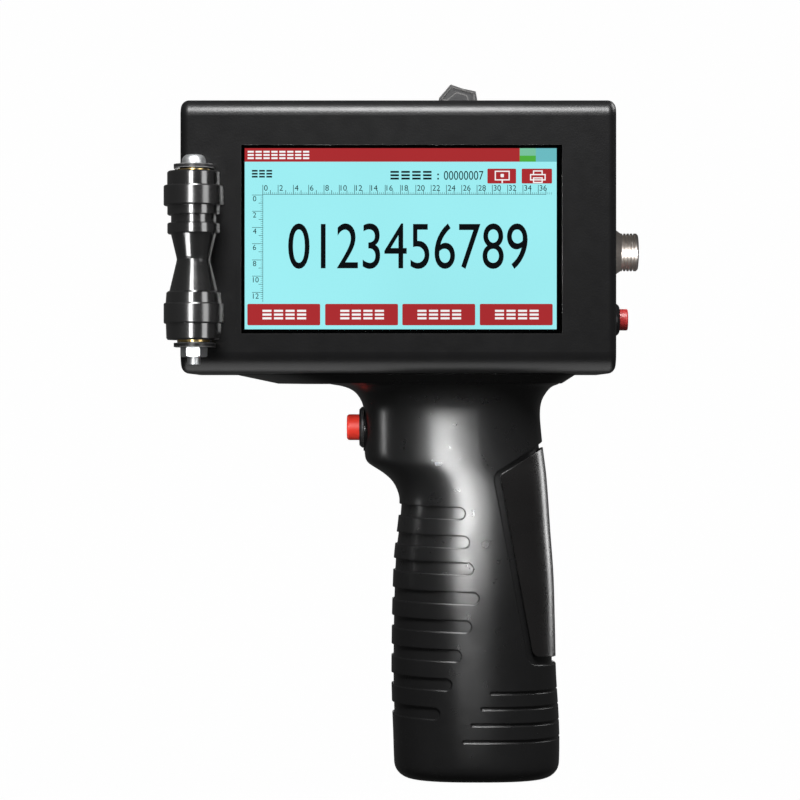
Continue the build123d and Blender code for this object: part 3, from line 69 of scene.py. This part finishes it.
class Surface:
    """A material under construction: one Principled shader and the nodes that feed it."""

    def __init__(self, name):
        self.material = bpy.data.materials.new(name)
        self.material.use_nodes = True
        self.tree = self.material.node_tree
        self.shader = self.tree.nodes["Principled BSDF"]
        self.place = self.tree.nodes.new("ShaderNodeTexCoord").outputs["Object"]

    def node(self, kind, **settings):
        made = self.tree.nodes.new("ShaderNode" + kind)
        for key, value in settings.items():
            setattr(made, key, value)
        return made

    def link(self, source, target):
        self.tree.links.new(source, target)

    def stretched(self, scale):
        """Object coordinates scaled by a different amount along each axis."""
        mapping = self.node("Mapping")
        self.link(self.place, mapping.inputs["Vector"])
        mapping.inputs["Scale"].default_value = scale
        return mapping.outputs["Vector"]

    def noise(self, size, detail=4.0, stretch=None):
        """Noise whose features are about size metres across."""
        noise = self.node("TexNoise")
        noise.inputs["Scale"].default_value = 1 / size
        noise.inputs["Detail"].default_value = detail
        self.link(self.stretched(stretch) if stretch else self.place, noise.inputs["Vector"])
        return noise.outputs["Fac"]

    def ranged(self, factor, low, high, start=0.3, end=0.7):
        """A factor between start and end, mapped to low and high."""
        mapped = self.node("MapRange")
        self.link(factor, mapped.inputs["Value"])
        mapped.inputs["From Min"].default_value = start
        mapped.inputs["From Max"].default_value = end
        mapped.inputs["To Min"].default_value = low
        mapped.inputs["To Max"].default_value = high
        return mapped.outputs["Result"]

    def mixed(self, factor, dark, light):
        """Colour that goes from dark to light with the factor."""
        mix = self.node("Mix", data_type="RGBA")
        self.link(factor, mix.inputs[0])
        mix.inputs[6].default_value = (*dark, 1)
        mix.inputs[7].default_value = (*light, 1)
        return mix.outputs[2]

    def edges(self, radius, start=0.02, end=0.3):
        """1 where the surface turns within radius metres, 0 on flat and gently curved parts."""
        bevel = self.node("Bevel", samples=4)
        bevel.inputs["Radius"].default_value = radius
        geometry = self.node("NewGeometry")
        dot = self.node("VectorMath", operation="DOT_PRODUCT")
        self.link(bevel.outputs["Normal"], dot.inputs[0])
        self.link(geometry.outputs["Normal"], dot.inputs[1])
        return self.ranged(dot.outputs["Value"], 1.0, 0.0, 1 - end, 1 - start)

    def bump(self, height, depth):
        """Small relief, depth metres from trough to crest."""
        bump = self.node("Bump")
        bump.inputs["Distance"].default_value = depth
        self.link(height, bump.inputs["Height"])
        self.link(bump.outputs["Normal"], self.shader.inputs["Normal"])
        return bump

    def set(self, **values):
        for key, value in values.items():
            self.shader.inputs[key.replace("_", " ")].default_value = value


def shades(colour, spread):
    """The colour a little darker and a little lighter."""
    dark = tuple(c * (1 - spread) for c in colour)
    light = tuple(c * (1 + spread) for c in colour)
    return dark, light


def plastic(name, colour, rough, grain=0.0005, relief=0.00002, spread=0.12, wear=None,
            rounding=0.0, **values):
    """Moulded plastic: fine sand texture, cloudy roughness and lighter rubbed edges."""
    look = Surface(name)
    dark, light = shades(colour, spread)
    tone = look.mixed(look.ranged(look.noise(0.02), 0.0, 1.0), dark, light)
    if wear:
        rubbed = look.node("Mix", data_type="RGBA")
        look.link(look.edges(0.0006), rubbed.inputs[0])
        look.link(tone, rubbed.inputs[6])
        rubbed.inputs[7].default_value = (*wear, 1)
        tone = rubbed.outputs[2]
    look.link(tone, look.shader.inputs["Base Color"])
    look.link(look.ranged(look.noise(0.004), rough - 0.02, rough + 0.02),
              look.shader.inputs["Roughness"])
    bump = look.bump(look.noise(grain, 2.0), relief)
    if rounding:
        bevel = look.node("Bevel", samples=6)
        bevel.inputs["Radius"].default_value = rounding
        look.link(bevel.outputs["Normal"], bump.inputs["Normal"])
    look.set(**values)
    return look.material


def metal(name, colour, rough, stretch=(1, 1, 12), grain=0.0006, relief=0.000004, spread=0.15,
          **values):
    """Bare metal with fine drawn or turned marks along the axis that isn't stretched."""
    look = Surface(name)
    dark, light = shades(colour, spread)
    marks = look.noise(grain, 3.0, stretch)
    look.link(look.mixed(look.ranged(look.noise(0.003), 0.0, 1.0), dark, light),
              look.shader.inputs["Base Color"])
    look.link(look.ranged(marks, rough - 0.08, rough + 0.10), look.shader.inputs["Roughness"])
    look.bump(marks, relief)
    look.set(Metallic=1.0, **values)
    return look.material


def rubber(name, colour, rough=0.7, **values):
    """Matt rubber or wire insulation with a faint mottle."""
    look = Surface(name)
    dark, light = shades(colour, 0.2)
    look.link(look.mixed(look.ranged(look.noise(0.004), 0.0, 1.0), dark, light),
              look.shader.inputs["Base Color"])
    look.link(look.ranged(look.noise(0.002), rough - 0.08, rough + 0.08),
              look.shader.inputs["Roughness"])
    look.bump(look.noise(0.0003, 2.0), 0.00001)
    look.set(**values)
    return look.material


def circuit_board_look(name):
    """Green solder mask with copper tracks showing through it as lighter lines."""
    look = Surface(name)
    tracks = look.node("TexBrick")
    look.link(look.stretched((260, 260, 260)), tracks.inputs["Vector"])
    tracks.inputs["Color1"].default_value = (0.008, 0.085, 0.03, 1)
    tracks.inputs["Color2"].default_value = (0.012, 0.11, 0.04, 1)
    tracks.inputs["Mortar"].default_value = (0.03, 0.2, 0.08, 1)
    tracks.inputs["Mortar Size"].default_value = 0.04
    look.link(tracks.outputs["Color"], look.shader.inputs["Base Color"])
    look.link(look.ranged(look.noise(0.004), 0.3, 0.42), look.shader.inputs["Roughness"])
    look.bump(tracks.outputs["Fac"], 0.00002)
    return look.material


def cover_glass_look(name):
    """Clear cover glass: see-through, with a weak clean reflection and faint smears."""
    look = Surface(name)
    clear = look.node("BsdfTransparent")
    gloss = look.node("BsdfGlossy")
    look.link(look.ranged(look.noise(0.012), 0.02, 0.08), gloss.inputs["Roughness"])
    fresnel = look.node("Fresnel")
    fresnel.inputs["IOR"].default_value = 1.18
    mix = look.node("MixShader")
    look.link(fresnel.outputs["Fac"], mix.inputs[0])
    look.link(clear.outputs["BSDF"], mix.inputs[1])
    look.link(gloss.outputs["BSDF"], mix.inputs[2])
    look.link(mix.outputs["Shader"], look.tree.nodes["Material Output"].inputs["Surface"])
    return look.material


def lit_pixels(name, colour, strength=1.0):
    """Lit display area with a slow backlight drift."""
    look = Surface(name)
    dark, light = shades(colour, 0.03)
    drift = look.mixed(look.ranged(look.noise(0.05, 1.0), 0.0, 1.0), dark, light)
    look.link(drift, look.shader.inputs["Emission Color"])
    look.set(Base_Color=(0, 0, 0, 1), Roughness=0.6, Emission_Strength=strength,
             Specular_IOR_Level=0.0)
    return look.material


# ------------------------------------------------------------------ finishes by material slot

LOOKS = {
    "black_case": plastic("black_case", (0.0055, 0.0055, 0.0058), 0.37, grain=0.00045,
                          relief=0.00003, wear=(0.02, 0.02, 0.02), Specular_IOR_Level=0.35),
    "black_grip": plastic("black_grip", (0.0075, 0.0075, 0.0077), 0.29, grain=0.0006,
                          relief=0.000004, rounding=0.0005),
    "grip_insert": plastic("grip_insert", (0.009, 0.0085, 0.0085), 0.28, relief=0.000003,
                           rounding=0.0005),
    "gasket_foam": rubber("gasket_foam", (0.004, 0.004, 0.004), 0.8),
    "screen_glass": cover_glass_look("screen_glass"),
    "display_metal": metal("display_metal", (0.5, 0.5, 0.5), 0.35),
    "circuit_board": circuit_board_look("circuit_board"),
    "component_black": plastic("component_black", (0.02, 0.02, 0.02), 0.5),
    "zinc_steel": metal("zinc_steel", (0.76, 0.78, 0.79), 0.42, spread=0.1),
    "brass_parts": metal("brass_parts", (0.72, 0.52, 0.22), 0.25),
    "plate_steel": metal("plate_steel", (0.58, 0.58, 0.57), 0.3, stretch=(1, 1, 20)),
    "bracket_metal": plastic("bracket_metal", (0.015, 0.015, 0.016), 0.35, wear=(0.25, 0.25, 0.25)),
    "roller_black": plastic("roller_black", (0.004, 0.004, 0.004), 0.20, relief=0.000002,
                            Specular_IOR_Level=1.0, Coat_Weight=1.0, Coat_IOR=1.8,
                            Coat_Roughness=0.15),
    "tyre_rubber": plastic("tyre_rubber", (0.006, 0.006, 0.006), 0.22, relief=0.000004,
                           Specular_IOR_Level=1.0, Coat_Weight=0.8, Coat_IOR=1.8,
                           Coat_Roughness=0.2),
    "magnet_grey": metal("magnet_grey", (0.08, 0.08, 0.08), 0.5),
    "socket_metal": metal("socket_metal", (0.72, 0.66, 0.61), 0.40, stretch=(14, 1, 1)),
    "button_black": plastic("button_black", (0.008, 0.008, 0.009), 0.35, wear=(0.16, 0.155, 0.15)),
    "button_red": plastic("button_red", (0.40, 0.028, 0.028), 0.36, spread=0.06,
                          relief=0.000005),
    "cell_wrap": plastic("cell_wrap", (0.04, 0.18, 0.42), 0.3, relief=0.000004),
    "wire_red": rubber("wire_red", (0.5, 0.02, 0.02), 0.45),
    "wire_white": rubber("wire_white", (0.6, 0.6, 0.58), 0.45),
}


# nodes whose slot colour is painted lighter: the trigger cap takes button_red made brighter, painted
# light on the trigger
PAINTED_LIGHT_LOOKS = {
    "trigger_cap": plastic("trigger_red_painted_light", (0.92, 0.050, 0.030), 0.38, spread=0.05,
                           relief=0.000005),
}


def dress_frame():
    """Every CAD node takes the finish of its material slot, or a lighter copy of it with painted
    light (the trigger cap).
    """
    for part in frame["record"]["subparts"]:
        node = frame["nodes"][part["node"]]
        node.data.materials.clear()
        node.data.materials.append(PAINTED_LIGHT_LOOKS.get(part["node"], LOOKS[part["material_slot"]]))


# ------------------------------------------------------------------ what the display shows

panel_low, panel_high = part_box("touch_panel")
display_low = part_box("display_module")[0]
SCREEN_WIDTH, SCREEN_HEIGHT = 94.6, 54.9
SCREEN_MID_X = (panel_low.x + panel_high.x) / 2 / MM - 0.3
SCREEN_MID_Z = (panel_low.z + panel_high.z) / 2 / MM + 0.3
DISPLAY_FRONT = display_low.y / MM
LAYER = 0.03


class Picture:
    """Flat shapes of one colour on the display.  u runs right and v down, in millimetres."""

    def __init__(self, name, layer):
        self.name = name
        self.mesh = bmesh.new()
        self.y = DISPLAY_FRONT - LAYER * (layer + 1)

    def point(self, u, v):
        x = SCREEN_MID_X - SCREEN_WIDTH / 2 + u
        z = SCREEN_MID_Z + SCREEN_HEIGHT / 2 - v
        return Vector((x, self.y, z)) * MM

    def shape(self, corners):
        """A filled outline, given in the (u, v) plane."""
        vertices = [self.mesh.verts.new(self.point(u, v)) for u, v in corners]
        face = self.mesh.faces.new(vertices)
        face.normal_update()
        if face.normal.y > 0:
            face.normal_flip()

    def box(self, u, v, width, height, corner=0.0):
        """A rectangle from its top left corner, with small rounded corners if asked."""
        if not corner:
            self.shape([(u, v), (u + width, v), (u + width, v + height), (u, v + height)])
            return
        outline = []
        centres = [(u + width - corner, v + corner), (u + width - corner, v + height - corner),
                   (u + corner, v + height - corner), (u + corner, v + corner)]
        for turn, (cu, cv) in enumerate(centres):
            for step in range(4):
                angle = math.radians(-90 + 90 * turn + 30 * step)
                outline.append((cu + corner * math.cos(angle), cv + corner * math.sin(angle)))
        self.shape(outline)

    def stroke(self, points, width):
        """A line of the given width through the points, with overlapping square ends."""
        for (a, b), (c, d) in zip(points, points[1:]):
            length = math.hypot(c - a, d - b)
            du, dv = (c - a) / length * width / 2, (d - b) / length * width / 2
            self.shape([(a - du - dv, b - dv + du), (c + du - dv, d + dv + du),
                        (c + du + dv, d + dv - du), (a - du + dv, b - dv - du)])

    def digits(self, text, u, v, height, width=None):
        """Plain numerals with their top left corner at (u, v), squeezed to width if given."""
        curve = bpy.data.curves.new("numerals", "FONT")
        curve.body = text
        curve.size = 1.0
        curve.resolution_u = 6
        holder = bpy.data.objects.new("numerals", curve)
        bpy.context.scene.collection.objects.link(holder)
        bpy.context.view_layer.update()
        flat = bpy.data.meshes.new_from_object(holder.evaluated_get(
            bpy.context.evaluated_depsgraph_get()))
        xs = [p.co.x for p in flat.vertices]
        ys = [p.co.y for p in flat.vertices]
        tall = height / (max(ys) - min(ys))
        wide = width / (max(xs) - min(xs)) if width else tall
        placed = []
        for p in flat.vertices:
            spot = self.point(u + (p.co.x - min(xs)) * wide, v + (max(ys) - p.co.y) * tall)
            placed.append(self.mesh.verts.new(spot))
        for polygon in flat.polygons:
            self.mesh.faces.new([placed[i] for i in polygon.vertices])
        bpy.data.objects.remove(holder)
        bpy.data.curves.remove(curve)
        bpy.data.meshes.remove(flat)

    def finish(self, material):
        data = bpy.data.meshes.new(self.name)
        self.mesh.to_mesh(data)
        self.mesh.free()
        data.materials.append(material)
        piece = bpy.data.objects.new(self.name, data)
        bpy.context.scene.collection.objects.link(piece)
        piece.visible_glossy = False
        piece.visible_diffuse = False
        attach(piece, "housing")


TITLE_HEIGHT, TITLE_RIGHT = 4.1, 83.4
STATUS_WIDTH, STATUS_SPLIT = 4.9, 0.55
RULER_TOP, RULER_BASE = 11.2, 14.0
RULER_LEFT, RULER_STEP = 5.5, 2.32
SIDE_RULER_STEP = 2.46
BUTTON_TOP, BUTTON_HEIGHT, BUTTON_WIDTH = 47.2, 6.5, 22.1
BUTTON_LEFT = (0.8, 24.4, 47.8, 71.3)
CODE_LEFT, CODE_TOP, CODE_WIDTH, CODE_HEIGHT = 13.2, 22.8, 72.6, 13.8


def draw_rulers(ink):
    """Top ruler to 36 and side ruler to 12, a numeral at every second long tick."""
    last = 37
    ink.stroke([(RULER_LEFT, RULER_BASE), (RULER_LEFT + last * RULER_STEP, RULER_BASE)], 0.12)
    for tick in range(last + 1):
        u = RULER_LEFT + tick * RULER_STEP
        numbered = tick % 2 == 0
        ink.stroke([(u, RULER_TOP if numbered else RULER_BASE - 1.2), (u, RULER_BASE)], 0.16)
        if numbered and tick < last:
            ink.digits(str(tick), u + 0.4, RULER_TOP, 1.7)
        for part in range(1, 4):
            ink.stroke([(u + part * RULER_STEP / 4, RULER_BASE - 0.6),
                        (u + part * RULER_STEP / 4, RULER_BASE)], 0.09)
    ink.stroke([(RULER_LEFT, RULER_BASE), (RULER_LEFT, 46.6)], 0.12)
    for tick in range(13):
        v = RULER_BASE + 0.2 + tick * SIDE_RULER_STEP
        numbered = tick % 2 == 0
        ink.stroke([(RULER_LEFT - (3.2 if numbered else 1.2), v), (RULER_LEFT, v)], 0.14)
        if numbered:
            ink.digits(str(tick), RULER_LEFT - 3.0, v + 0.3, 1.6)
        for part in range(1, 4):
            low = v + part * SIDE_RULER_STEP / 4
            ink.stroke([(RULER_LEFT - 0.6, low), (RULER_LEFT, low)], 0.09)


def draw_word(picture, u, v, height, count, pitch):
    """A word left out: stacks of three plain bars stand where its letters would be."""
    for place in range(count):
        for row in range(3):
            picture.box(u + place * pitch, v + row * height * 0.39, pitch * 0.78, height * 0.22)


def draw_screen():
    ground = Picture("screen_ground", 0)
    ground.box(0, 0, SCREEN_WIDTH, SCREEN_HEIGHT)
    ground.finish(lit_pixels("screen_cyan", (0.34, 0.85, 0.89)))

    red = Picture("screen_red_areas", 1)
    red.box(0, 0, TITLE_RIGHT, TITLE_HEIGHT)
    for left in BUTTON_LEFT:
        red.box(left, BUTTON_TOP, BUTTON_WIDTH, BUTTON_HEIGHT, 0.4)
    red.box(73.6, 6.2, 8.7, 4.5, 0.3)
    red.box(84.0, 6.2, 9.2, 4.5, 0.3)
    red.finish(lit_pixels("screen_red", (0.40, 0.027, 0.031)))

    teal = Picture("screen_status_teal", 1)
    status_right = TITLE_RIGHT + STATUS_WIDTH
    teal.box(status_right, 0, SCREEN_WIDTH - status_right, TITLE_HEIGHT)
    teal.finish(lit_pixels("screen_teal", (0.15, 0.50, 0.54)))
    mint = Picture("screen_status_mint", 1)
    mint.box(TITLE_RIGHT, 0, STATUS_WIDTH, TITLE_HEIGHT * STATUS_SPLIT)
    mint.finish(lit_pixels("screen_mint", (0.19, 0.54, 0.35)))
    green = Picture("screen_status_green", 1)
    green.box(TITLE_RIGHT, TITLE_HEIGHT * STATUS_SPLIT, STATUS_WIDTH,
              TITLE_HEIGHT * (1 - STATUS_SPLIT))
    green.finish(lit_pixels("screen_green", (0.08, 0.43, 0.05)))

    ink = Picture("screen_ink", 2)
    draw_rulers(ink)
    ink.digits("0123456789", CODE_LEFT, CODE_TOP, CODE_HEIGHT, CODE_WIDTH)
    ink.digits("00000007", 60.4, 6.9, 2.7, 12.0)
    draw_word(ink, 2.2, 6.6, 2.3, 3, 2.2)
    draw_word(ink, 44.2, 6.9, 2.6, 4, 3.3)
    ink.box(58.4, 7.7, 0.5, 0.5)
    ink.box(58.4, 9.0, 0.5, 0.5)
    ink.finish(lit_pixels("screen_black", (0.004, 0.005, 0.006)))

    white = Picture("screen_white_marks", 2)
    draw_word(white, 0.9, 0.8, 2.5, 8, 2.4)
    for left in BUTTON_LEFT:
        draw_word(white, left + 4.6, BUTTON_TOP + 1.8, 2.9, 4, 3.5)
    white.stroke([(76.0, 7.0), (80.2, 7.0), (80.2, 9.6), (76.0, 9.6), (76.0, 7.0)], 0.35)
    white.box(77.6, 7.8, 1.0, 1.0, 0.2)
    white.stroke([(78.1, 9.6), (78.1, 10.4)], 0.4)
    white.stroke([(86.7, 8.0), (91.1, 8.0), (91.1, 9.6), (86.7, 9.6), (86.7, 8.0)], 0.35)
    white.stroke([(87.6, 8.0), (87.6, 6.9), (90.2, 6.9), (90.2, 8.0)], 0.35)
    white.stroke([(87.6, 9.0), (90.2, 9.0), (90.2, 10.4), (87.6, 10.4), (87.6, 9.0)], 0.35)
    white.finish(lit_pixels("screen_white", (0.93, 0.93, 0.93)))


def draw_screen_border():
    """The black print round the lit area, behind the cover glass."""
    margin = 5.4
    border = Picture("screen_border", -0.5)
    left, right = -margin, SCREEN_WIDTH + margin
    top, bottom = -margin, SCREEN_HEIGHT + margin
    border.shape([(left, top), (right, top), (right, 0), (left, 0)])
    border.shape([(left, SCREEN_HEIGHT), (right, SCREEN_HEIGHT), (right, bottom), (left, bottom)])
    border.shape([(left, 0), (0, 0), (0, SCREEN_HEIGHT), (left, SCREEN_HEIGHT)])
    border.shape([(SCREEN_WIDTH, 0), (right, 0), (right, SCREEN_HEIGHT),
                  (SCREEN_WIDTH, SCREEN_HEIGHT)])
    border.finish(plastic("screen_border_print", (0.002, 0.002, 0.002), 0.5,
                          Specular_IOR_Level=0.1))


# ------------------------------------------------------------------ floor and light

MIDDLE = Vector((-0.024, 0.0, 0.12))
FLOOR_GLOW, FLOOR_FILL = 0.98, 0.05
WORLD_GLOW, WORLD_FILL = 1.1, 0.07
SPOT_RADIUS = 0.03


def make_floor():
    """A plain pale sweep: flat under the object, curving up far behind it."""
    profile = []
    back, bend = 1.6, 0.9
    profile.append((-3.0, 0.0))
    for step in range(13):
        angle = math.radians(90 * step / 12)
        profile.append((back + bend * math.sin(angle), bend - bend * math.cos(angle)))
    profile.append((back + bend, 4.0))
    sheet = bmesh.new()
    rows = []
    for y, z in profile:
        rows.append([sheet.verts.new((x, y, z)) for x in (-4.0, -1.0, 1.0, 4.0)])
    for row, following in zip(rows, rows[1:]):
        for i in range(3):
            sheet.faces.new((row[i], row[i + 1], following[i + 1], following[i]))
    data = bpy.data.meshes.new("studio_floor")
    sheet.to_mesh(data)
    sheet.free()
    for polygon in data.polygons:
        polygon.use_smooth = True
    look = Surface("floor_paper")
    tone = look.mixed(look.ranged(look.noise(0.3), 0.0, 1.0), (0.16, 0.16, 0.16), (0.18, 0.18, 0.18))
    look.link(tone, look.shader.inputs["Base Color"])
    rays = look.node("LightPath")
    look.link(look.ranged(rays.outputs["Is Camera Ray"], FLOOR_FILL, FLOOR_GLOW, 0, 1),
              look.shader.inputs["Emission Strength"])
    look.set(Roughness=0.9, Specular_IOR_Level=0.1, Emission_Color=(1, 1, 1, 1))
    data.materials.append(look.material)
    floor = bpy.data.objects.new("studio_floor", data)
    bpy.context.scene.collection.objects.link(floor)


def add_lamp(data, place, aim, lights_up):
    """Stand a lamp at place, turned to aim; lights_up limits it to those CAD nodes."""
    lamp = bpy.data.objects.new(data.name, data)
    lamp.location = place
    lamp.rotation_euler = (Vector(place) - Vector(aim)).to_track_quat("Z", "Y").to_euler()
    bpy.context.scene.collection.objects.link(lamp)
    if lights_up:
        receivers = bpy.data.collections.new(data.name + "_receivers")
        for node in lights_up:
            receivers.objects.link(frame["nodes"][node])
        lamp.light_linking.receiver_collection = receivers


def softbox(name, place, width, height, brightness, lights_up=None):
    """A rectangular area light of that surface brightness, facing the object."""
    data = bpy.data.lights.new(name, "AREA")
    data.shape = "RECTANGLE"
    data.size, data.size_y = width, height
    data.energy = brightness * math.pi * width * height
    add_lamp(data, place, MIDDLE, lights_up)


def snoot(name, place, aim, cone, power, lights_up):
    """A spot whose beam is that many degrees wide and fades out to its edge."""
    data = bpy.data.lights.new(name, "SPOT")
    data.spot_size = math.radians(cone)
    data.spot_blend = 1.0
    data.shadow_soft_size = SPOT_RADIUS
    data.energy = power
    add_lamp(data, place, aim, lights_up)


def make_lights():
    world = bpy.data.worlds.new("studio")
    bpy.context.scene.world = world
    world.use_nodes = True
    nodes, links = world.node_tree.nodes, world.node_tree.links
    background = nodes["Background"]
    rays = nodes.new("ShaderNodeLightPath")
    strength = nodes.new("ShaderNodeMapRange")
    links.new(rays.outputs["Is Camera Ray"], strength.inputs["Value"])
    strength.inputs["To Min"].default_value = WORLD_FILL
    strength.inputs["To Max"].default_value = WORLD_GLOW
    links.new(strength.outputs["Result"], background.inputs["Strength"])
    background.inputs["Color"].default_value = (1, 1, 1, 1)

    grip = ["grip_front", "grip_rear"]
    shells = ["front_shell", "rear_shell"]
    threaded = ["charge_socket_shell", "charge_socket_nut", "charge_socket_insert"]
    buttons = ["trigger_cap", "trigger_nut", "trigger_body"]
    back = ["rear_shell", "cartridge_hatch", "hatch_latch_knob", "grip_rear", "usb_socket"]
    dull = grip + shells + ["touch_panel", "window_gasket", "back_insert"]
    shiny = [node for node in frame["nodes"] if node not in dull + threaded]
    softbox("overhead", (-0.024, -0.62, 0.88), 0.30, 0.40, 50,
            [node for node in frame["nodes"] if node not in threaded])
    softbox("roller_strip", (-0.21, -0.94, 0.38), 0.22, 0.76, 12, shiny)
    softbox("roller_card", (-0.225, -0.27, 0.035), 0.12, 0.05, 12,
            ["front_roller_spool", "rear_roller_spool"])
    softbox("front_right", (0.60, -0.62, 0.20), 0.34, 0.50, 2.8, shiny)
    softbox("under_card", (-0.024, -0.01, 0.004), 0.30, 0.18, 2.0, shells)
    softbox("socket_card", (0.14, -0.95, 0.20), 0.20, 0.50, 9, threaded)
    softbox("socket_low", (0.12, -0.50, 0.03), 0.15, 0.10, 60, threaded)
    snoot("grip_beam", (-0.02, -0.95, 0.045), (-0.006, -0.02, 0.058), 5.4, 3.5, grip)
    snoot("neck_beam", (-0.05, -0.92, 0.02), (-0.009, -0.02, 0.086), 2.9, 60, grip)
    snoot("web_beam", (-0.85, -0.25, 0.06), (-0.028, 0.0, 0.108), 3.6, 7, grip)
    snoot("trigger_beam", (-0.70, -0.50, 0.13), (-0.030, -0.01, 0.108), 5.0, 20, buttons)
    softbox("insert_right", (0.60, 0.50, 0.25), 0.20, 0.80, 7, ["back_insert"])
    softbox("side_right", (0.80, 0.35, 0.90), 0.60, 0.50, 8, shells + grip + ["back_insert"])
    softbox("rear_high", (-0.024, 0.85, 0.75), 0.80, 0.40, 16, back)


bpy.context.scene.view_settings.view_transform = "Standard"
make_camera()
make_floor()
make_lights()
dress_frame()
draw_screen()
draw_screen_border()
